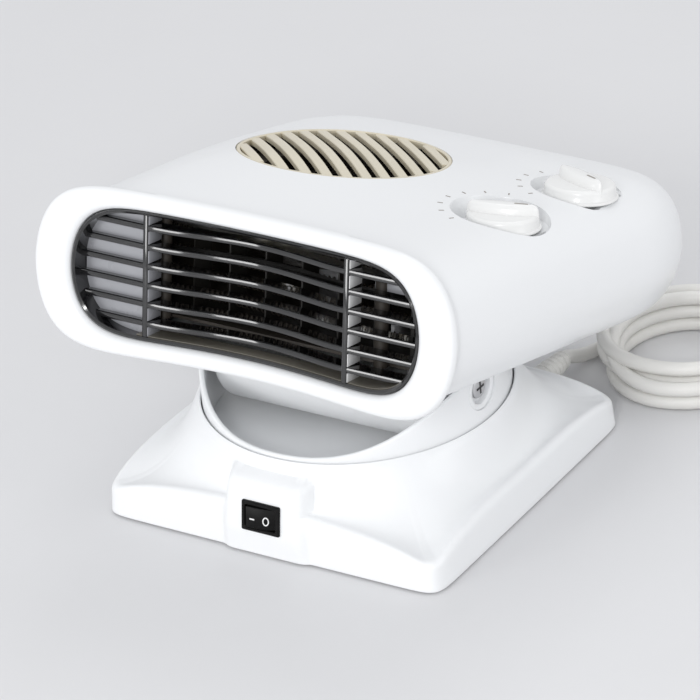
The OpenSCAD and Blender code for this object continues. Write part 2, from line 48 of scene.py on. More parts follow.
# ---- driving dimensions in millimetres and degrees, which follow the frame's ----
BASE_W, BASE_D, RIM_Z = 186.0, 174.0, 22.0
COLLAR_Z, WALL, FOOT_H = 47.4, 2.6, 1.2
TURRET_R, CHEEK_RISE = 74.7, 25.0
PIVOT_Y, PIVOT_Z = -4.5, 64.0
HEAD_W, HEAD_H, HEAD_LEN, HEAD_LEAN = 224.0, 71.0, 270.0, 12.3
FACE_Y, FACE_Z = -91.0, 137.0
BEZEL_W, BEZEL_H = 230.0, 83.0
OUTLET_W, OUTLET_H, DIP = 190.0, 64.0, 0.04
END_POW, SIDE_POW = 8.6, 1.9
INTAKE_R, FAN_X, FAN_Y = 52.0, -28.0, 136.0
KNOB_R, WELL_Z = 18.5, 24.0
# Each knob's place on the head and its turn. The wells are centred on the knobs.
KNOB_PLACES = {"thermostat_knob": (77.0, 108.0, 20.0), "selector_knob": (82.0, 172.0, -25.0)}
SWITCH_Y, SWITCH_Z, POD_W, POD_LEAN = -89.5, 22.0, 52.0, 10.5
NECK_R, NECK_HALF, NECK_MEETS_Y = 30.0, 60.0, 96.0
CORD_D, COIL_R, COIL_MID = 7.2, 39.6, (97.0, 150.0)
CORD_EXIT = (45.0, 86.0, 10.0)

# ---------------------------------------------------------------- materials
TONE_SCALE, GLOSS_SCALE, GRAIN_DEPTH = 14.0, 60.0, 0.0004


def grey(value):
    return (value, value, value, 1.0)


def noise_between(tree, scale, low, high, detail=4.0):
    """A noise over the object, spread between two values or colours."""
    nodes, links = tree.nodes, tree.links
    coords = nodes.new("ShaderNodeTexCoord")
    noise = nodes.new("ShaderNodeTexNoise")
    noise.inputs["Scale"].default_value = scale
    noise.inputs["Detail"].default_value = detail
    ramp = nodes.new("ShaderNodeValToRGB")
    ramp.color_ramp.elements[0].position = 0.3
    ramp.color_ramp.elements[1].position = 0.7
    ramp.color_ramp.elements[0].color = low
    ramp.color_ramp.elements[1].color = high
    links.new(coords.outputs["Object"], noise.inputs["Vector"])
    links.new(noise.outputs["Fac"], ramp.inputs["Fac"])
    return noise, ramp


def material(name, colour, rough, spread=0.05, tint=0.03, grain=900.0, bump=0.05,
             metal=0.0, coat=0.0, sheen=0.0, spec=0.5):
    """Plastic, rubber or metal with fine grain, uneven gloss and a little colour drift."""
    mat = bpy.data.materials.new(name)
    mat.use_nodes = True
    tree = mat.node_tree
    shader = tree.nodes["Principled BSDF"]
    dark = tuple(c * (1 - tint) for c in colour) + (1.0,)
    _, tone = noise_between(tree, TONE_SCALE, dark, tuple(colour) + (1.0,))
    _, gloss = noise_between(tree, GLOSS_SCALE, grey(max(0.02, rough - spread)), grey(rough + spread))
    fine, _ = noise_between(tree, grain, grey(0.0), grey(1.0), detail=2.0)
    lift = tree.nodes.new("ShaderNodeBump")
    lift.inputs["Strength"].default_value = bump
    lift.inputs["Distance"].default_value = GRAIN_DEPTH
    tree.links.new(fine.outputs["Fac"], lift.inputs["Height"])
    tree.links.new(lift.outputs["Normal"], shader.inputs["Normal"])
    tree.links.new(tone.outputs["Color"], shader.inputs["Base Color"])
    tree.links.new(gloss.outputs["Color"], shader.inputs["Roughness"])
    shader.inputs["Metallic"].default_value = metal
    shader.inputs["Specular IOR Level"].default_value = spec
    shader.inputs["Coat Weight"].default_value = coat
    shader.inputs["Coat Roughness"].default_value = 0.08
    shader.inputs["Sheen Weight"].default_value = sheen
    return mat


MATERIALS = {
    "white_plastic": material("white_abs", (0.84, 0.85, 0.86), 0.3, spread=0.015, tint=0.008,
                              bump=0.006, coat=0.2),
    "white_knob": material("white_knob_abs", (0.84, 0.84, 0.83), 0.25, spread=0.015, tint=0.01,
                           bump=0.006, coat=0.3),
    "grey_plastic": material("grey_moulding", (0.78, 0.79, 0.8), 0.5, tint=0.03, bump=0.05),
    "rubber": material("foot_rubber", (0.05, 0.05, 0.05), 0.75, tint=0.3, bump=0.3, sheen=0.1),
    "screw_steel": material("zinc_steel", (0.62, 0.62, 0.63), 0.28, tint=0.12, grain=500.0, metal=1.0),
    "motor_steel": material("pressed_steel", (0.5, 0.5, 0.51), 0.42, tint=0.15, grain=300.0, metal=1.0),
    "black_plastic": material("switch_black", (0.004, 0.004, 0.004), 0.45, tint=0.3, bump=0.12, spec=0.15),
    "grille_black": material("grille_gloss_black", (0.008, 0.008, 0.009), 0.1, spread=0.03, tint=0.4,
                             bump=0.02, coat=0.8, spec=0.5),
    "intake_cream": material("intake_cream", (0.72, 0.66, 0.52), 0.35, tint=0.1, bump=0.08),
    "duct_grey": material("duct_heatproof", (0.07, 0.06, 0.05), 0.45, tint=0.25, bump=0.15),
    # Near black, much darker than mica board: painted shade for the inside of the duct.
    "mica": material("mica_board_painted_shade", (0.02, 0.018, 0.015), 0.6, spread=0.12, tint=0.4, grain=250.0, bump=0.25),
    "element_wire": material("resistance_wire", (0.36, 0.32, 0.28), 0.4, tint=0.4, metal=1.0),
    "fan_plastic": material("fan_dark", (0.04, 0.035, 0.03), 0.4, tint=0.25),
    "brass": material("stamped_brass", (0.6, 0.42, 0.15), 0.3, tint=0.2, metal=1.0),
    "plug_metal": material("nickel_pins", (0.66, 0.65, 0.6), 0.2, tint=0.1, metal=1.0),
    "wire_insulation": material("wire_insulation", (0.25, 0.08, 0.04), 0.45, tint=0.2),
    "cord_white": material("cord_pvc", (0.8, 0.79, 0.76), 0.42, tint=0.06, grain=700.0, bump=0.12),
}
# White for the rocker's printed marks, and also the painted highlight on the right rib's lit side faces.
PRINT_AND_HIGHLIGHT_WHITE = material("print_and_painted_highlight_white", (0.8, 0.8, 0.8), 0.5, tint=0.05)
# A bluish mid grey that paints light: the lit left rib faces, the plate behind the left slats and the two
# vanes at the right.
PAINTED_LIT_GREY = material("painted_lit_grey", (0.36, 0.365, 0.39), 0.3, tint=0.15)
# A warm grey that paints the floor's reflection on the lower wall inside the glossy grille frame.
PAINTED_FLOOR_REFLECTION = material("painted_floor_reflection", (0.2, 0.185, 0.155), 0.35, tint=0.15)
DIAL_LINES = material("dial_marks", (0.3, 0.27, 0.24), 0.5, tint=0.2)


# ---------------------------------------------------------------- mesh tools
# A part is a pair: a list of points in millimetres and a list of faces over them.
def make_object(name, part):
    """An object with a part's mesh, its doubled points merged and its normals turned out."""
    verts, faces = part
    mesh = bpy.data.meshes.new(name)
    mesh.from_pydata([tuple(float(c) * MM for c in v) for v in verts], [], [tuple(f) for f in faces])
    work = bmesh.new()
    work.from_mesh(mesh)
    bmesh.ops.remove_doubles(work, verts=work.verts, dist=1e-6)
    bmesh.ops.recalc_face_normals(work, faces=work.faces)
    work.to_mesh(mesh)
    work.free()
    obj = bpy.data.objects.new(name, mesh)
    bpy.context.scene.collection.objects.link(obj)
    return obj


def finish_piece(obj, name, body, slot, replaces=(), mat=None, angle=38.0):
    """Names a piece, gives it a material and smooth shading, and rides it on a body."""
    obj.name = obj.data.name = name
    obj.data.materials.clear()
    obj.data.materials.append(mat or MATERIALS[slot])
    obj.data.polygons.foreach_set("use_smooth", [True] * len(obj.data.polygons))
    obj.data.set_sharp_from_angle(angle=math.radians(angle))
    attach(obj, body)
    if replaces:
        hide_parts(*replaces)
    return obj


def add_piece(name, part, body, slot, replaces=(), mat=None, angle=38.0):
    return finish_piece(make_object(name, part), name, body, slot, replaces, mat, angle)


def combine(obj, part, operation):
    """Applies one exact boolean with a part to obj."""
    tool = make_object("tool", part)
    mod = obj.modifiers.new("cut", "BOOLEAN")
    mod.operation = operation
    mod.solver = "EXACT"
    mod.object = tool
    bpy.context.view_layer.update()
    done = bpy.data.meshes.new_from_object(obj.evaluated_get(bpy.context.evaluated_depsgraph_get()))
    obj.modifiers.clear()
    obj.data = done
    bpy.data.objects.remove(tool)


def mix(a, b, t):
    return a + (b - a) * t


def angles(count):
    """Directions evenly spaced around a circle, in radians."""
    return [FULL_TURN * i / count for i in range(count)]


def skin(loops, wrap=False):
    """A part over loops of equal length; wrap joins the last to the first, else the ends are closed."""
    m, n = len(loops), len(loops[0])
    verts = [p for loop in loops for p in loop]
    faces = []
    for i in range(m if wrap else m - 1):
        near, far = i * n, ((i + 1) % m) * n
        for j in range(n):
            k = (j + 1) % n
            faces.append((near + j, near + k, far + k, far + j))
    if not wrap:
        for start in (0, (m - 1) * n):
            end = start + n - 1
            faces += [(start + j, start + j + 1, end - 1 - j, end - j) for j in range(n // 2 - 1)]
    return verts, faces


def join_parts(parts):
    verts, faces = [], []
    for v, f in parts:
        base = len(verts)
        verts += list(v)
        faces += [tuple(i + base for i in face) for face in f]
    return verts, faces


def moved(part, place):
    """The part with every point put through place."""
    return [place(p) for p in part[0]], part[1]


def shifted(part, x=0.0, y=0.0, z=0.0):
    return moved(part, lambda p: (p[0] + x, p[1] + y, p[2] + z))


def revolve(profile, steps=64):
    """Turns (radius, height) points about Z."""
    verts = [(r * math.cos(a), r * math.sin(a), z) for a in angles(steps) for r, z in profile]
    n = len(profile)
    faces = []
    for i in range(steps):
        near, far = i * n, ((i + 1) % steps) * n
        faces += [(near + j, far + j, far + j + 1, near + j + 1) for j in range(n - 1)]
    return verts, faces


def rod(r, low, high, steps=32):
    """A plain round bar along Z."""
    return revolve([(0, low), (r, low), (r, high), (0, high)], steps)


def arc(cx, cz, r, start, end, count):
    """Points along an arc between two angles in degrees."""
    turns = [math.radians(start + (end - start) * i / count) for i in range(count + 1)]
    return [(cx + r * math.cos(a), cz + r * math.sin(a)) for a in turns]


def rounded_outline(reach_x, reach_y, r, steps):
    """A rectangle with round corners, whose corner centres are reach_x and reach_y from the middle."""
    points = []
    for side_x, side_y, start in ((1, 1, 0), (-1, 1, 90), (-1, -1, 180), (1, -1, 270)):
        for i in range(steps + 1):
            a = math.radians(start + 90 * i / steps)
            points.append((side_x * reach_x + r * math.cos(a), side_y * reach_y + r * math.sin(a)))
    return points


def rounded_box(w, d, h, r, steps=2):
    """A block centred on the origin in X and Y, standing on z = 0, with rounded edges."""
    quarter = [math.pi / 2 * i / steps for i in range(steps + 1)]
    stack = [(r - r * math.sin(a), r - r * math.cos(a)) for a in quarter]
    stack += [(inset, h - z) for inset, z in reversed(stack)]
    loops = []
    for inset, z in stack:
        outline = rounded_outline(w / 2 - r, d / 2 - r, max(r - inset, 0.01), steps)
        loops.append([(x, y, z) for x, y in outline])
    return skin(loops)


def sweep(path, section, side):
    """Sweeps a flat section (across, up) along a path of points."""
    path = [Vector(p) for p in path]
    loops = []
    for i, p in enumerate(path):
        t = (path[min(i + 1, len(path) - 1)] - path[max(i - 1, 0)]).normalized()
        across = t.cross(Vector(side)).normalized()
        up = across.cross(t).normalized()
        loops.append([tuple(p + across * a + up * b) for a, b in section])
    return skin(loops)


# ---------------------------------------------------------------- places
def leaned(p, lean, y0, z0):
    """A point of a frame that leans forward by some degrees and stands at (0, y0, z0)."""
    a = math.radians(lean)
    x, y, z = p
    return x, y0 + y * math.cos(a) + z * math.sin(a), z0 - y * math.sin(a) + z * math.cos(a)


def on_head(p):
    return leaned(p, HEAD_LEAN, FACE_Y, FACE_Z)


def on_switch(p):
    return leaned(p, POD_LEAN, SWITCH_Y, SWITCH_Z)


def head_part(part, x=0.0, y=0.0, z=0.0):
    """The part shifted in the head's own frame and then put on the head."""
    return moved(shifted(part, x, y, z), on_head)


def spun(p, x, y, a):
    """X and Y of a point that is turned by a about Z and then moved to (x, y)."""
    return x + p[0] * math.cos(a) - p[1] * math.sin(a), y + p[0] * math.sin(a) + p[1] * math.cos(a)


def on_pivot(part, side, reach):
    """A turned part laid on the tilt axis, facing outwards at one side."""
    return moved(part, lambda p: (side * (reach + p[2]), PIVOT_Y + p[0], PIVOT_Z + p[1]))


def along_y(part, x, y, z, way=1):
    """A turned part laid along Y from a place, backwards or forwards."""
    return moved(part, lambda p: (x + p[0], y + way * p[2], z + p[1]))


# ---------------------------------------------------------------- the head's outer shape
# s is the share of the head's length from its front, u the share of its half width.
JOINT_S, TAIL_END_S = 0.052, 0.9995
SIDE_SWELL, TAIL_W = 0.08, 0.29
NARROWS_S, THINS_S, TAIL_POW = 0.67, 0.74, 2.2
TOP_DROP, TOP_CURVE = 7.9, 3.7
BELLY_DROP, BELLY_CURVE = 18.4, 7.9
CROWN_RISE, CROWN_Y, CROWN_SPREAD = 8, 115, 5000
ACROSS = 110
US = [math.sin(math.pi / 2 * (1 - 2 * i / ACROSS)) for i in range(ACROSS + 1)]


def fade(t, p):
    """Falls from 1 to 0 as t goes from 0 to 1, like the side of a rounded square."""
    t = min(max(t, 0.0), 1.0)
    return (1 - t ** p) ** (1 / p)


def arch(u):
    return max(0.0, 1 - abs(u) ** END_POW) ** (1 / SIDE_POW)


def oval(w, h, dip=0.0, count=96):
    """A closed oval with blunt round ends, as (x, z) points."""
    us = [math.sin(math.pi / 2 * (1 - 2 * i / count)) for i in range(count + 1)]
    top = [(w * u, h * arch(u) * (1 - dip * (1 - u * u) ** 2)) for u in us]
    bottom = [(-w * u, -h * arch(u) * (1 - dip * (1 - u * u) ** 2)) for u in us[1:-1]]
    return top + bottom


def body_w(s):
    narrowing = mix(TAIL_W, 1, fade((s - NARROWS_S) / (1 - NARROWS_S), TAIL_POW))
    return HEAD_W / 2 * (1 + SIDE_SWELL * s * s) * narrowing


def body_top(s):
    return HEAD_H / 2 - TOP_DROP * s - TOP_CURVE * s * s


def body_bottom(s):
    return -HEAD_H / 2 - BELLY_DROP * s + BELLY_CURVE * s * s


def body_mid(s):
    return (body_top(s) + body_bottom(s)) / 2


def body_h(s):
    return (body_top(s) - body_bottom(s)) / 2 * fade((s - THINS_S) / (1 - THINS_S), TAIL_POW)


def crown(x, y, u, h):
    """The low swelling of the top around the intake, which fades at the sides and the tail."""
    swelling = CROWN_RISE * math.exp(-((x - FAN_X) ** 2 + (y - CROWN_Y) ** 2) / CROWN_SPREAD)
    return swelling * min(1, 2 * arch(u)) * min(1, h / 20)


def top_at(x, y):
    """Height of the head's top surface over its own frame."""
    s = y / HEAD_LEN
    u = min(1.0, abs(x) / body_w(s))
    return body_mid(s) + body_h(s) * arch(u) + crown(x, y, u, body_h(s))


def stations(count):
    """Places along the head from its front joint to its tail, closer together at the tail."""
    return [JOINT_S + (TAIL_END_S - JOINT_S) * math.sin(math.pi / 2 * i / count) for i in range(count + 1)]


def half_section(s, side, w, h):
    """The upper (side 1) or lower (side -1) half of a section across the head."""
    points = []
    for u in US:
        x, y = w * u, s * HEAD_LEN
        z = body_mid(s) + side * h * arch(u)
        if side > 0:
            z += crown(x, y, u, h)
        points.append((x, y, z))
    return points


def shell_half(side):
    """One half of the head's case, as a thin wall."""
    loops = []
    for s in stations(84):
        outer = half_section(s, side, body_w(s), body_h(s))
        inner_h = max(0.0, body_h(min(1.0, s + WALL / HEAD_LEN)) - WALL)
        inner = half_section(s, side, max(body_w(s) - WALL, 1.0), inner_h)
        loops.append([on_head(p) for p in outer + inner[::-1]])
    return skin(loops)


def solid_head():
    """The head's outer shape as one closed block."""
    loops = []
    for s in stations(60):
        top = half_section(s, 1, body_w(s), body_h(s))
        low = half_section(s, -1, body_w(s), body_h(s))[::-1][1:-1]
        loops.append([on_head(p) for p in top + low])
    return skin(loops)


# ---------------------------------------------------------------- the head's case and top
WELL_WALL, WELL_SINK, WELL_FIT = 1.8, 0.3, 0.02
INTAKE_TILT, INTAKE_Z = 5, 37.4


def dish(grow, low):
    """The cutter of a knob's well: a cup whose mouth flares."""
    flare = ((20.5, 0), (21.8, 0.7), (22.6, 2.2), (23.3, 4.5), (24.8, 10.2))
    profile = [(0, low)] + [(r + grow, low + z) for r, z in flare] + [(0, low + 10.2)]
    return revolve(profile, 96)


def knob_well(x, y):
    """The thin cup of a well; it stays just under the case's skin, so that the two don't flicker."""
    cup = make_object("tool", head_part(dish(WELL_WALL, WELL_Z - WELL_WALL), x, y))
    combine(cup, head_part(dish(WELL_FIT, WELL_Z), x, y), "DIFFERENCE")
    combine(cup, shifted(solid_head(), x=-WELL_SINK, z=-WELL_SINK), "INTERSECT")
    return cup


def on_intake(p):
    """A point of the intake's own frame, which tips a little against the head's."""
    tilt = math.radians(INTAKE_TILT)
    return on_head((FAN_X + p[0], FAN_Y + p[1] * math.cos(tilt) + p[2] * math.sin(tilt),
                    INTAKE_Z - p[1] * math.sin(tilt) + p[2] * math.cos(tilt)))


def build_head_shells():
    """The lower and upper case, with the intake's hole and the two knob wells."""
    add_piece("head_lower_case", shell_half(-1), "head", "white_plastic", ["head_lower_shell"])
    upper = make_object("tool", shell_half(1))
    wells = []
    for name, (x, y, _) in KNOB_PLACES.items():
        combine(upper, head_part(dish(0, WELL_Z), x, y), "DIFFERENCE")
        wells.append((name.replace("knob", "well"), knob_well(x, y)))
    combine(upper, moved(rod(INTAKE_R + 0.2, -22, 30, 128), on_intake), "DIFFERENCE")
    finish_piece(upper, "head_upper_case", "head", "white_plastic", ["head_upper_shell"], angle=32)
    for name, cup in wells:
        finish_piece(cup, name, "head", "white_plastic", angle=32)


def build_intake():
    """The round top grille: a thin rim and slanting slats that follow the crowned top."""
    rim = []
    for a in angles(128):
        loop = []
        for r, dz in ((50.0, -3.4), (50.0, -0.6), (50.4, -0.15), (51.4, -0.1), (51.9, -0.6), (51.9, -3.4)):
            x, y = FAN_X + r * math.cos(a), FAN_Y + r * math.sin(a)
            loop.append(on_head((x, y, top_at(x, y) + dz)))
        rim.append(loop)
    parts = [skin(rim, wrap=True)]
    slat_lean, slat_pitch, slat_reach, slat_points = math.radians(-45), 9.2, 50.2, 24
    along = (math.cos(slat_lean), math.sin(slat_lean))
    across = (-along[1], along[0])
    for k in range(-5, 6):
        off = k * slat_pitch
        half = math.sqrt(max(0, slat_reach ** 2 - off * off))
        loops = []
        for i in range(slat_points + 1):
            t = mix(-half, half, i / slat_points)
            loop = []
            for w, dz in ((-2.5, -3.2), (-2.5, -0.9), (-2.1, -0.45), (2.1, -0.45), (2.5, -0.9), (2.5, -3.2)):
                x = FAN_X + along[0] * t + across[0] * (off + w)
                y = FAN_Y + along[1] * t + across[1] * (off + w)
                loop.append(on_head((x, y, top_at(x, y) + dz)))
            loops.append(loop)
        parts.append(skin(loops))
    add_piece("top_intake_grille", join_parts(parts), "head", "intake_cream", ["intake_grille"], angle=30)


def knob_parts():
    """A knob's round skirt, its lens-shaped grip and its stem."""
    skirt = [(0, 0.8), (17.4, 0.8)] + arc(17.6, 1.7, 0.9, -90, 90, 6) + [(17.3, 3.0)]
    skirt += arc(15.2, 6.2, 1.9, 0, 90, 8) + [(0, 8.6)]
    grip = []
    for z, shrink in ((5.0, 0.0), (8.0, 0.15), (10.5, 0.5), (11.8, 1.1), (12.5, 2.0), (12.8, 3.2)):
        half_l, half_w = KNOB_R - 1.2 - shrink, 5.6 - shrink
        grip.append([(half_l * math.cos(t), half_w * math.sin(t) * abs(math.sin(t)) ** 0.35, z)
                     for t in angles(72)])
    return join_parts([revolve(skirt, 96), skin(grip), rod(3, -11, 1.5)])


def build_knobs():
    """The two knobs, each with a pointer line on its grip."""
    line = shifted(rounded_box(6.5, 1.0, 0.5, 0.2), x=8.5, z=12.5)
    for name, (x, y, turn) in KNOB_PLACES.items():
        def in_well(p, x=x, y=y, a=math.radians(turn)):
            return on_head((*spun(p, x, y, a), p[2] + WELL_Z))
        add_piece(name + "_cap", moved(knob_parts(), in_well), name, "white_knob", [name], angle=35)
        add_piece(name + "_pointer", moved(line, in_well), name, "grey_plastic", mat=DIAL_LINES)


def build_dial_marks():
    """Plain tick marks around each well, pressed into the top."""
    tick, tick_count, first_angle, angle_step, ring_r = rounded_box(2.6, 0.7, 0.3, 0.1), 7, 115, 22, 29.5
    for name, (x, y, _) in KNOB_PLACES.items():
        parts = []
        for k in range(tick_count):
            a = math.radians(first_angle + k * angle_step)
            cx, cy = x + ring_r * math.cos(a), y + ring_r * math.sin(a)

            def on_top(p, cx=cx, cy=cy, a=a):
                top = top_at(*spun((p[0], 0), cx, cy, a))
                return on_head((*spun(p, cx, cy, a), top - 0.15 + p[2]))
            parts.append(moved(tick, on_top))
        add_piece(name.replace("knob", "ticks"), join_parts(parts), "head", "grey_plastic", mat=DIAL_LINES)


# ---------------------------------------------------------------- the outlet
LIP_DEPTH, SLEEVE_BACK = 5.5, 27
SLATS, SLAT_GAP = 6, 9.37
RIB_PLACES, RIB_Y, RIB_DEPTH = (-57.0, 53.0), 16.0, 12.0
GRILLE_BACK = 24


def face_at(x):
    """How far the bezel's front edge is set back; it is most in the middle."""
    return 10 * (1 - min(1, abs(x) / (BEZEL_W / 2)) ** 2) ** 2


def slat_y(x):
    """How far a slat's front edge is set back; it bows between the ribs."""
    return 11 + 7 * (1 - min(1, abs(x) / 54) ** 2) ** 2


def between(a, b, t):
    """The (x, z) point a share t of the way from a to b."""
    return mix(a[0], b[0], t), mix(a[1], b[1], t)


def build_bezel():
    """The white ring around the outlet: rolled front edge, set back in the middle."""
    lips = oval(OUTLET_W / 2 + 0.5, OUTLET_H / 2 + 0.5, DIP)
    rims = oval(BEZEL_W / 2, BEZEL_H / 2, DIP)
    sleeves = oval(OUTLET_W / 2 + 2.3, OUTLET_H / 2 + 2.3, DIP)
    mid, back = body_mid(JOINT_S), JOINT_S * HEAD_LEN
    joints = [(x, z + mid) for x, z in oval(body_w(JOINT_S), body_h(JOINT_S))]
    inners = [(x, z + mid) for x, z in oval(body_w(JOINT_S) - WALL, body_h(JOINT_S) - WALL)]
    roll_steps, side_steps = 16, 8
    loops = []
    for lip, rim, sleeve, joint, inner in zip(lips, rims, sleeves, joints, inners):
        loop = []
        for k in range(roll_steps + 1):
            a = math.pi * k / roll_steps
            x, z = between(lip, rim, (1 - math.cos(a)) / 2)
            loop.append((x, face_at(x) + LIP_DEPTH * (1 - math.sin(a) ** 0.8), z))
        for k in range(1, side_steps + 1):
            t = k / side_steps
            x, z = between(rim, joint, t * t * (3 - 2 * t))
            loop.append((x, mix(face_at(rim[0]) + LIP_DEPTH, back, t), z))
        loop.append((inner[0], back, inner[1]))
        x, z = between(sleeve, inner, 0.35)
        loop.append((x, 13, z))
        loop += [(sleeve[0], 16, sleeve[1]), (sleeve[0], SLEEVE_BACK, sleeve[1])]
        loop.append((lip[0], SLEEVE_BACK, lip[1]))
        loops.append([on_head(p) for p in loop])
    add_piece("outlet_bezel", skin(loops, wrap=True), "head", "white_plastic", ["front_bezel"], angle=40)


def grille_slat(z):
    """One bowed slat, with a rounded front edge and a thin back."""
    blade = [(0.2, -1.5), (-0.4, -1.1), (-0.7, 0), (-0.4, 1.1), (0.2, 1.5)]
    blade += [(9, 0.75), (9, -0.75), (4.5, -1.1)]
    half = OUTLET_W / 2 * (1 - (abs(z) / (OUTLET_H / 2)) ** SIDE_POW) ** (1 / END_POW) - 1
    points = 80
    loops = []
    for i in range(points + 1):
        x = mix(-half, half, i / points)
        loops.append([on_head((x, slat_y(x) + a, z + b)) for a, b in blade])
    return skin(loops)


def grille_ring():
    """The frame that holds the slats, inside the bezel."""
    outer = oval(OUTLET_W / 2 + 0.2, OUTLET_H / 2 + 0.2, DIP)
    inner = oval(OUTLET_W / 2 - 1.6, OUTLET_H / 2 - 1.6, DIP)
    loops = []
    for (ox, oz), (ix, iz) in zip(outer, inner):
        front = face_at(ox) + 4.0
        loop = [(ox, front, oz), (mix(ox, ix, 0.5), front - 0.5, mix(oz, iz, 0.5)), (ix, front + 0.3, iz)]
        loop += [(ix, GRILLE_BACK, iz), (ox, GRILLE_BACK, oz), (ox, 15, oz)]
        loops.append([on_head(p) for p in loop])
    return skin(loops, wrap=True)


def build_grille():
    """Six bowed slats, two upright ribs and the frame they stand in."""
    parts = [grille_slat((row - (SLATS - 1) / 2) * SLAT_GAP) for row in range(SLATS)]
    bar = rounded_box(3.0, RIB_DEPTH, 60.5, 0.8, 3)
    parts += [head_part(bar, x, RIB_Y, -30.2) for x in RIB_PLACES]
    parts.append(grille_ring())
    add_piece("outlet_grille", join_parts(parts), "head", "grille_black", ["front_grille"], angle=35)


def build_rib_faces():
    """The bright side faces of the two black ribs, in the cells between the slats: painted highlight plates,
    grey at the left and white at the right.
    """
    rib_faces = (("left_rib_face", RIB_PLACES[0], PAINTED_LIT_GREY), ("right_rib_face", RIB_PLACES[1], PRINT_AND_HIGHLIGHT_WHITE))
    for name, x, paint in rib_faces:
        cells = []
        for k in range(SLATS + 1):
            at_end = k in (0, SLATS)
            tall, squeeze = (4.4, 0.965) if at_end else (6.2, 1.0)
            middle = (k - SLATS / 2) * SLAT_GAP * squeeze
            cell = rounded_box(0.5, RIB_DEPTH - 1.2, tall, 0.2)
            cells.append(head_part(cell, x + 1.5, RIB_Y, middle - tall / 2))
        add_piece(name, join_parts(cells), "head", "grille_black", mat=paint)


def build_lit_floor():
    """The lower wall inside the grille's frame, from the left rib to the right end, in a warm grey that is a
    painted reflection of the floor in the glossy black.
    """
    back, thick = GRILLE_BACK - 0.5, 0.3
    wall = oval(OUTLET_W / 2 - 1.7, OUTLET_H / 2 - 1.7, DIP)
    low = sorted((x, z) for x, z in wall if z < -20 and -62 < x < 90)
    loops = []
    for x, z in low:
        front = face_at(x) + 5.2
        loop = [(x, front, z), (x, back, z), (x, back, z + thick), (x, front, z + thick)]
        loops.append([on_head(p) for p in loop])
    add_piece("lit_floor", skin(loops), "head", "grille_black", mat=PAINTED_FLOOR_REFLECTION)


def build_elements():
    """Wound resistance wire in four rows between the mica boards."""
    turns, points, coil_r, half_len = 50, 10, 2.2, 69.5
    section = [(0.38 * math.cos(a), 0.38 * math.sin(a)) for a in angles(5)]
    rows = []
    for z in (-17, -7, 3, 13):
        path = []
        for i in range(turns * points + 1):
            t = i / (turns * points)
            a = FULL_TURN * turns * t
            path.append((mix(-half_len, half_len, t), 48 + coil_r * math.cos(a), z + coil_r * math.sin(a)))
        rows.append(moved(sweep(path, section, (0.05, 1, 0.02)), on_head))
    add_piece("wound_elements", join_parts(rows), "head", "element_wire", ["heater_coils"])


def build_screw_posts():
    """The front screw posts of the case, which stand behind the grille."""
    posts = [head_part(rod(3.4, -26, 26, 24), x, 31) for x in (-60, 60)]
    add_piece("front_screw_posts", join_parts(posts), "head", "duct_grey")


def build_side_panels():
    """The wall just behind the left slats' fronts, and two vanes at the right, in a light grey that is
    painted light where the duct is lit.
    """
    plate, steps = [], 12
    front, back = 14.5, 15.5
    for i in range(steps + 1):
        x = mix(-93, -58.5, i / steps)
        half = 30.4 * max(0.05, 1 - (abs(x) / 94) ** END_POW) ** (1 / SIDE_POW)
        corners = ((x, front, -half), (x, front, half), (x, back, half), (x, back, -half))
        plate.append([on_head(p) for p in corners])
    vane = rounded_box(25, 0.8, 5.4, 0.3)
    panels = [skin(plate)] + [head_part(vane, 69, 30, -27 + SLAT_GAP * k) for k in (4, 5)]
    add_piece("outlet_side_panels", join_parts(panels), "head", "duct_grey", mat=PAINTED_LIT_GREY)


# ---------------------------------------------------------------- stand
FOOT_POW, COLLAR_ROLL, SLOPE_POW, SLOPE_STEPS = 22, 0.8, 2.3, 30
POD_TOP, POD_ROUND, POD_LOW = 41, 9, 14


def foot_r(a):
    """Radius of the stand's foot outline, a rectangle with small corners, in a direction."""
    part_x, part_y = abs(math.cos(a)) / (BASE_W / 2), abs(math.sin(a)) / (BASE_D / 2)
    return (part_x ** FOOT_POW + part_y ** FOOT_POW) ** (-1 / FOOT_POW)


def corner_part(a):
    """How near a direction is to a corner of the stand, from 0 to 1."""
    return min(max((foot_r(a) - BASE_D / 2) / 36, 0), 1)


def rim_at(a):
    """Height of the stand's outer edge, lower at the corners and higher at the front."""
    return RIM_Z - 6 * corner_part(a) ** 3 + 4 * max(0, -math.sin(a)) * (1 - corner_part(a))


def pod_depth(x, z):
    """How far forward the switch pod's face stands at a place on the front."""
    width = mix(POD_W / 2, POD_W / 2 - 4, z / 40)
    lean = math.tan(math.radians(POD_LEAN))
    flat = -SWITCH_Y + (SWITCH_Z - max(z, POD_LOW)) * lean - 1.6 * max(0, 1 - z / POD_LOW)
    edge = (abs(x) / width) ** 14 + (max(z, 0) / POD_TOP) ** 18
    return flat - POD_ROUND * edge


def with_pod(p):
    """A point of the stand's outside, drawn forward where the pod stands out, with a soft crease."""
    x, y, z = p
    if y > 0:
        return p
    soft, most = 0.8, 600
    depth = max(pod_depth(x, z), 0)
    out = soft * math.log(math.exp(min(-y / soft, most)) + math.exp(min(depth / soft, most)))
    return (x, -max(out, -y), z)


def base_angles(count=420):
    """Directions around the stand, closer together at its corners and its front."""
    raw = np.linspace(0, FULL_TURN, 4 * count, endpoint=False)
    at_pod = [1.6 if abs(a - 1.5 * math.pi) < 0.42 else 0 for a in raw]
    weight = np.array([1 + 5 * corner_part(a) ** 2 + extra for a, extra in zip(raw, at_pod)])
    total = np.cumsum(weight)
    return np.interp(np.linspace(0, total[-1], count, endpoint=False), total, raw)


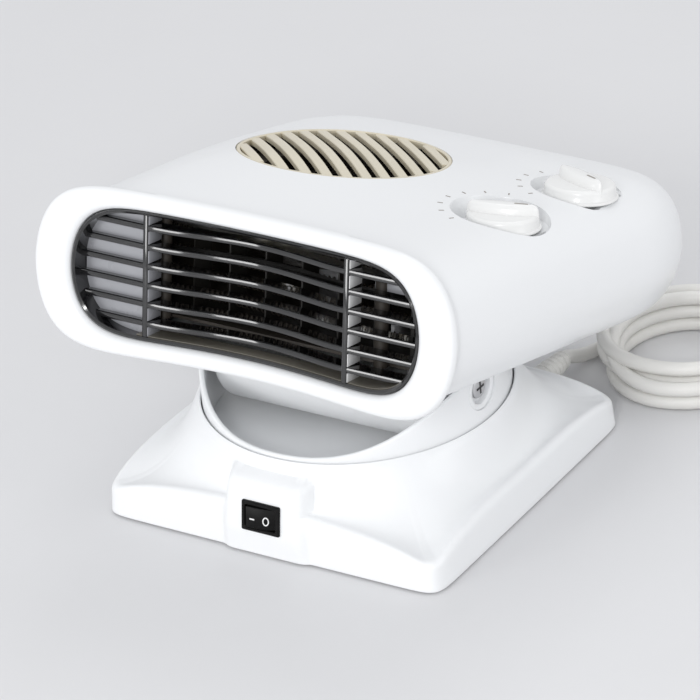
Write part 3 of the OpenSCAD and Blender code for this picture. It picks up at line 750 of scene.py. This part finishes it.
def base_loop(a):
    """The stand case's section in one direction: collar, slope, edge and foot, then back inside."""
    foot, rim, collar = foot_r(a), rim_at(a), TURRET_R + 0.6
    start, stop = collar + 1.9, foot - 4
    roll, top = COLLAR_ROLL, COLLAR_Z - COLLAR_ROLL
    outer = [(collar, COLLAR_Z - 6), (collar, top)]
    outer += [(collar + roll - roll * math.cos(t), top + roll * math.sin(t))
              for t in (0.5, 1.0, math.pi / 2)]
    slope = [i / SLOPE_STEPS for i in range(1, SLOPE_STEPS + 1)]
    outer += [(mix(start, stop, s), mix(rim, COLLAR_Z - 0.4, (1 - s) ** SLOPE_POW)) for s in slope]
    outer += [(stop + 4 * math.sin(t), rim - 4 + 4 * math.cos(t)) for t in (0.3, 0.6, 0.9, 1.2, math.pi / 2)]
    flank = (0.12, 0.25, 0.4, 0.55, 0.7, 0.85, 1.0)
    outer += [(foot + 0.9 * t, mix(rim - 4, FOOT_H + 0.5, t)) for t in flank]
    outer += [(foot + 0.8, FOOT_H)]
    inner = [(foot + 1 - WALL, FOOT_H), (foot - WALL, rim - 6)]
    inner += [(mix(start, stop, s) - 1.8, mix(rim, COLLAR_Z, (1 - s) ** SLOPE_POW) - WALL)
              for s in (0.95, 0.8, 0.6, 0.45)]
    inner += [(collar + 1.7, 34), (collar, 34)]
    loop = [with_pod((r * math.cos(a), r * math.sin(a), z)) for r, z in outer]
    return loop + [(r * math.cos(a), r * math.sin(a), z) for r, z in inner]


def build_base():
    """The stand's case, with the switch's slot and the cord's hole."""
    base = make_object("tool", skin([base_loop(a) for a in base_angles()], wrap=True))
    slot = rounded_box(19.4, 40, 13.4, 0.5)
    combine(base, moved(shifted(slot, y=8, z=-6.7), on_switch), "DIFFERENCE")
    combine(base, along_y(rod(5.2, 0, 20), CORD_EXIT[0], 75, CORD_EXIT[2]), "DIFFERENCE")
    finish_piece(base, "stand_case", "base", "white_plastic", ["base_shell"], angle=40)


# ---------------------------------------------------------------- mains switch
ROCKER_REST = math.radians(9)


def rocker_face(x):
    """Y of the rocker's curved face, in the rocker's own frame."""
    return -4.6 - 0.9 * math.cos(math.pi * x / 16)


def on_rocker(p):
    """A point of the rocker, which rests pressed at one end."""
    x, y = spun(p, 0, 3.4, ROCKER_REST)
    return on_switch((x, y, p[2]))


def build_switch_bezel():
    corner = 0.8
    loops = []
    for w, h, y in ((10.5, 7.5, 0.4), (10.5, 7.5, -0.9), (10.1, 7.1, -1.5), (8.9, 5.9, -1.5),
                    (8.5, 5.5, -1.1), (8.5, 5.5, 8), (9.5, 6.5, 8), (9.5, 6.5, 0.4)):
        loops.append([on_switch((x, y, z)) for x, z in rounded_outline(w - corner, h - corner, corner, 4)])
    add_piece("switch_bezel", skin(loops, wrap=True), "base", "black_plastic", ["rocker_frame"], angle=30)


def build_rocker():
    """The rocker, a block with a bulging face and a narrow back."""
    outline = [(8 - i, rocker_face(8 - i)) for i in range(17)]
    outline += [(-7.4, -1), (-2, 1.6), (2, 1.6), (7.4, -1), (7.8, -3)]
    loops = []
    for z, inset in ((-5.3, 0.5), (-5.1, 0.15), (-4.8, 0), (4.8, 0), (5.1, 0.15), (5.3, 0.5)):
        loops.append([on_rocker((x * (1 - inset / 9), y + (inset if y < -3 else 0), z)) for x, y in outline])
    add_piece("switch_rocker", skin(loops), "rocker", "black_plastic", ["rocker"], angle=30)


def build_switch_marks():
    """The plain dash and ring on the rocker."""
    dash_x, ring_x, ring_w, ring_h = -4.6, 2.6, 1.35, 1.9
    dash = moved(rounded_box(2.6, 0.4, 0.7, 0.12),
                 lambda p: on_rocker((p[0] + dash_x, rocker_face(p[0] + dash_x) + p[1], p[2] - 1.1)))
    ring = []
    for t in angles(32):
        face = rocker_face(ring_x + ring_w * math.cos(t))
        loop = []
        for d, dy in ((-0.28, -0.15), (0.28, -0.15), (0.28, 0.15), (-0.28, 0.15)):
            x, z = ring_x + (ring_w + d) * math.cos(t), (ring_h + d) * math.sin(t) - 0.8
            loop.append(on_rocker((x, face + dy, z)))
        ring.append(loop)
    add_piece("switch_marks", join_parts([dash, skin(ring, wrap=True)]), "rocker", "white_knob", mat=PRINT_AND_HIGHLIGHT_WHITE)


# ---------------------------------------------------------------- turret and neck
CUP_AT, SLOT_AT = 66.2, 6.5


def cheek_z(a):
    """Height of the turret's top edge, which rises to a cheek at each side."""
    rise = COLLAR_Z + 1.4 + CHEEK_RISE * abs(math.cos(a)) ** 3.2
    return min(rise, PIVOT_Z + 8 - 0.28 * max(0, TURRET_R * math.sin(a) - PIVOT_Y))


def build_turret():
    """The turret's case: a round wall with a rolled edge, drilled for the pivots."""
    roll, inside = 1.3, TURRET_R - WALL
    loops = []
    for a in angles(240):
        top = cheek_z(a)
        profile = [(TURRET_R, 32)] + [(TURRET_R, mix(34, top - roll, k / 8)) for k in range(9)]
        profile += [(TURRET_R - roll + roll * math.cos(t), top - roll + roll * math.sin(t))
                    for t in (0.4, 0.8, 1.2, math.pi / 2, 1.9, 2.3, 2.7)]
        profile += [(inside, top - 1.8), (inside - 0.4, COLLAR_Z - 5), (inside - 0.4, 32)]
        loops.append([(r * math.cos(a), r * math.sin(a), z) for r, z in profile])
    turret = make_object("tool", skin(loops, wrap=True))
    for side in (-1, 1):
        combine(turret, on_pivot(rod(11, 0, 14, 64), side, 64), "DIFFERENCE")
    finish_piece(turret, "turret_case", "turret", "white_plastic", ["turret_shell"], angle=35)


def build_pivots():
    """In each cheek, a cup with a recessed cross-head screw; the cross slot is two black bars laid on the
    head, which paint the slot's shade.
    """
    cup = [(3.05, 0), (10.98, 0), (10.98, 6.9)] + arc(10.3, 6.9, 0.68, 0, 90, 4)
    cup += [(8.9, 7.55), (8.2, 7.2), (8, 6.6), (8, 4.2), (3.05, 4.2), (3.05, 0)]
    head = [(0, 4.7), (2.9, 4.7), (5.5, 4.7), (5.6, 5.1)] + arc(4.4, 5.4, 1.2, 0, 70, 5)
    head += [(3.0, 6.75), (0, 6.85)]
    cups, screws, slots = [], [], []
    for side in (-1, 1):
        cups.append(on_pivot(revolve(cup, 64), side, CUP_AT))
        screws.append(on_pivot(revolve(head, 48), side, CUP_AT))
        screws.append(on_pivot(rod(3, -8, 4.8), side, CUP_AT))
        for w, h in ((1.2, 6.4), (6.4, 1.2)):
            slots.append(on_pivot(rounded_box(w, h, 0.5, 0.2), side, CUP_AT + SLOT_AT))
    add_piece("pivot_cups", join_parts(cups), "turret", "white_plastic", ["pivot_bushes"], angle=35)
    add_piece("pivot_pan_screws", join_parts(screws), "head", "screw_steel", ["pivot_screws"], angle=35)
    # The cross slots are dark bars on the screw heads in the rubber's black: painted shade of the slot.
    add_piece("pivot_screw_slots", join_parts(slots), "head", "screw_steel", mat=MATERIALS["rubber"])


def trim_above(obj, at, normal):
    """Cuts away what lies past a plane and closes the cut."""
    work = bmesh.new()
    work.from_mesh(obj.data)
    bmesh.ops.bisect_plane(work, geom=work.verts[:] + work.edges[:] + work.faces[:], plane_co=Vector(at) * MM,
                           plane_no=normal, clear_outer=True)
    bmesh.ops.holes_fill(work, edges=[e for e in work.edges if e.is_boundary], sides=0)
    bmesh.ops.recalc_face_normals(work, faces=work.faces)
    work.to_mesh(obj.data)
    work.free()


def build_neck():
    """The round neck that hangs from the head between the turret's cheeks."""
    r, half, corner = NECK_R, NECK_HALF, 4
    wall = [(0, -half), (r - corner, -half)] + arc(r - corner, -half + corner, corner, -90, 0, 6)
    wall += arc(r - corner, half - corner, corner, 0, 90, 6) + [(0, half)]
    drum = make_object("tool", on_pivot(revolve(wall, 128), 1, 0))
    s = NECK_MEETS_Y / HEAD_LEN
    slope = math.atan((-BELLY_DROP + 2 * BELLY_CURVE * s) / HEAD_LEN)
    a = math.radians(HEAD_LEAN) - slope
    trim_above(drum, on_head((0, NECK_MEETS_Y, body_bottom(s) - 0.2)), (0, math.sin(a), math.cos(a)))
    for side in (-1, 1):
        combine(drum, on_pivot(rod(9, 0, 5.3, 48), side, half - 0.4), "UNION")
    finish_piece(drum, "tilt_neck_drum", "head", "white_plastic", ["tilt_neck"], angle=35)


# ---------------------------------------------------------------- cord and plug
# RUN and TAIL are the frame's points before and after the coil.
RUN = [(45, 116, 10), (45, 120, 9), (45.5, 125, 6.5), (46.5, 130, 4.6), (48, 135, 3.7), (50, 140, 3.6),
       (52, 145, 3.6)]
TAIL = [(104, 193, 18), (112, 193, 18), (121, 192, 17.5), (128, 190.5, 16), (135, 187.5, 12.5),
        (141, 183.5, 8.5), (147, 178.5, 5.5), (152.5, 173, 5), (157, 167.5, 7.5), (159.5, 162.5, 11),
        (160, 158, 13.5)]
PLUG_AT = (160.0, 158.0, 13.5)
PLUG_LEN, PIN_OFFSET = 36, 9.5
COIL_TURNS, TURN_STEPS, CROSS_FROM = 5.25, 40, 0.72


def coil_points():
    """Five and a quarter turns in two columns and three layers, ending at the far side."""
    turns = [(1, 0), (0, 0), (0, 1), (1, 1), (0, 2), (1, 2)]
    last = len(turns) - 1
    points = []
    for i in range(int(COIL_TURNS * TURN_STEPS) + 1):
        pos = i / TURN_STEPS
        k = min(int(pos), last)
        here, following = turns[k], turns[min(k + 1, last)]
        t = max(0, (pos - k - CROSS_FROM) / (1 - CROSS_FROM))
        t = t * t * (3 - 2 * t)
        column, layer = mix(here[0], following[0], t), mix(here[1], following[1], t)
        r = COIL_R - CORD_D / 2 + column * CORD_D
        a = math.pi - FULL_TURN * pos
        x, y = COIL_MID[0] + r * math.cos(a), COIL_MID[1] + r * math.sin(a)
        points.append((x, y, CORD_D / 2 + layer * CORD_D))
    return points


def build_boot():
    """The ribbed strain relief that the cord leaves the stand through."""
    relief = [(0, 0), (6.4, 0), (6.4, 2), (5.1, 2.4), (5.1, 5.6), (7.4, 6.2), (7.0, 9)]
    ribs = 6
    for k in range(ribs):
        z, r = 10 + k * 3.8, mix(6.9, 5.0, k / (ribs - 1))
        relief += [(r, z), (r, z + 2.2), (r - 0.9, z + 2.5), (r - 0.9, z + 3.5)]
    relief += [(4.5, 33), (4.0, 34), (0, 34)]
    part = along_y(revolve(relief, 48), CORD_EXIT[0], CORD_EXIT[1] - 4, CORD_EXIT[2])
    return add_piece("cord_boot", part, "base", "cord_white", ["strain_relief"], angle=35)


def build_plug():
    """The moulded plug with its grip grooves, and its two round pins."""
    x, y, z = PLUG_AT
    shape = [(0, 0), (4.4, 0), (5.4, 2), (5.8, 9), (9, 12), (12.6, 15), (13.4, 19)]
    for k in range(3):
        shape += [(13.4, 20 + 3 * k), (12.7, 20.6 + 3 * k), (12.7, 21.8 + 3 * k), (13.4, 22.4 + 3 * k)]
    shape += arc(12.4, 34.9, 1.0, 0, 90, 4) + [(0, PLUG_LEN)]
    body = add_piece("plug_moulding", along_y(revolve(shape, 64), x, y, z, -1), "base", "cord_white",
                     ["plug_body"], angle=35)
    pin = revolve([(0, 0), (2.4, 0), (2.4, 17.4)] + arc(1.2, 17.8, 1.2, 0, 90, 5) + [(0, 19)], 32)
    pins = [along_y(pin, x + side * PIN_OFFSET, y - PLUG_LEN, z, -1) for side in (-1, 1)]
    prongs = add_piece("plug_prongs", join_parts(pins), "base", "plug_metal", ["plug_pins"], angle=35)
    return body, prongs


def build_cord():
    """The mains cord from the stand's back through the coil to the plug."""
    start = (45.0, CORD_EXIT[1] - 2, 10.0)
    route = [start, (45, 100, 10), (45, 108, 10)] + RUN + coil_points() + TAIL
    curve = bpy.data.curves.new("power_cord", "CURVE")
    curve.dimensions = "3D"
    curve.bevel_depth = CORD_D / 2 * MM
    curve.bevel_resolution = 4
    spline = curve.splines.new("POLY")
    spline.points.add(len(route) - 1)
    for point, p in zip(spline.points, route):
        point.co = (p[0] * MM, p[1] * MM, p[2] * MM, 1)
    spline.use_smooth = True
    cord = bpy.data.objects.new("power_cord", curve)
    bpy.context.scene.collection.objects.link(cord)
    curve.materials.append(MATERIALS["cord_white"])
    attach(cord, "base")
    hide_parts("cord_run", "cord_coil", "cord_tail")
    boot = build_boot()
    body, prongs = build_plug()


# ---------------------------------------------------------------- stage, light and camera
# Each lamp: its place and width in metres, and its power in watts.
LAMPS = {
    "key": ((0.7, -1.5, 0.95), 0.35, 9.5),
    "front": ((-0.6, -1.5, 0.35), 0.5, 6),
    "side": ((1.7, 0.1, 0.6), 0.8, 2.5),
    "back": ((-0.2, 1.2, 1.6), 1.0, 4),
}
LAMP_TARGET = Vector((0, 0.04, 0.08))
# The camera: its target in millimetres, its distance in metres and its angles in degrees.
CAMERA_TARGET, CAMERA_DISTANCE = (-2.1, 0, 65.1), 2.4
CAMERA_AZIMUTH, CAMERA_HEIGHT, CAMERA_ROLL = 34.77, 29.15, -5.82
SENSOR_MM, LENS_MM = 36, 258.4954


def build_stage():
    """A pale floor under an even sky, with four soft lamps."""
    bpy.ops.mesh.primitive_plane_add(size=12, location=(0, 0, 0))
    floor = bpy.context.object
    floor.name = "floor"
    floor.data.materials.append(material("studio_floor", (0.7, 0.7, 0.71), 0.6, tint=0.01, bump=0.02))
    world = bpy.data.worlds.new("studio")
    world.use_nodes = True
    world.node_tree.nodes["Background"].inputs["Color"].default_value = (0.97, 0.98, 1.0, 1)
    world.node_tree.nodes["Background"].inputs["Strength"].default_value = 0.83
    bpy.context.scene.world = world
    bpy.context.scene.view_settings.view_transform = "Standard"
    for name, (place, size, power) in LAMPS.items():
        light = bpy.data.lights.new(name, "AREA")
        light.size = size
        light.energy = power
        lamp = bpy.data.objects.new(name, light)
        lamp.location = place
        lamp.rotation_euler = (LAMP_TARGET - Vector(place)).to_track_quat("-Z", "Y").to_euler()
        bpy.context.scene.collection.objects.link(lamp)


def build_camera():
    """A long-lens camera at the front right, above the heater, with a slight roll."""
    azimuth, height, roll = (math.radians(a) for a in (CAMERA_AZIMUTH, CAMERA_HEIGHT, CAMERA_ROLL))
    level = math.cos(height)
    back = Vector((math.sin(azimuth) * level, -math.cos(azimuth) * level, math.sin(height)))
    right = Vector((math.cos(azimuth), math.sin(azimuth), 0))
    up = back.cross(right)
    r, u = right * math.cos(roll) + up * math.sin(roll), up * math.cos(roll) - right * math.sin(roll)
    data = bpy.data.cameras.new("camera")
    data.sensor_width = SENSOR_MM
    data.lens = LENS_MM
    data.clip_end = 50
    camera = bpy.data.objects.new("camera", data)
    camera.matrix_world = Matrix(((r.x, u.x, back.x), (r.y, u.y, back.y), (r.z, u.z, back.z))).to_4x4()
    camera.location = Vector(CAMERA_TARGET) * MM + back * CAMERA_DISTANCE
    bpy.context.scene.collection.objects.link(camera)
    bpy.context.scene.camera = camera


def dress_frame():
    """Gives every node that stays visible its procedural material."""
    slots = {row["node"]: row["material_slot"] for row in frame["record"]["subparts"]}
    for name, obj in frame["nodes"].items():
        obj.data.materials.clear()
        obj.data.materials.append(MATERIALS[slots[name]])


build_camera()
build_stage()
dress_frame()
build_cord()
build_base()
build_switch_bezel()
build_rocker()
build_switch_marks()
build_turret()
build_pivots()
build_neck()
build_head_shells()
build_bezel()
build_grille()
build_rib_faces()
build_lit_floor()
build_intake()
build_knobs()
build_dial_marks()
build_elements()
build_screw_posts()
build_side_panels()
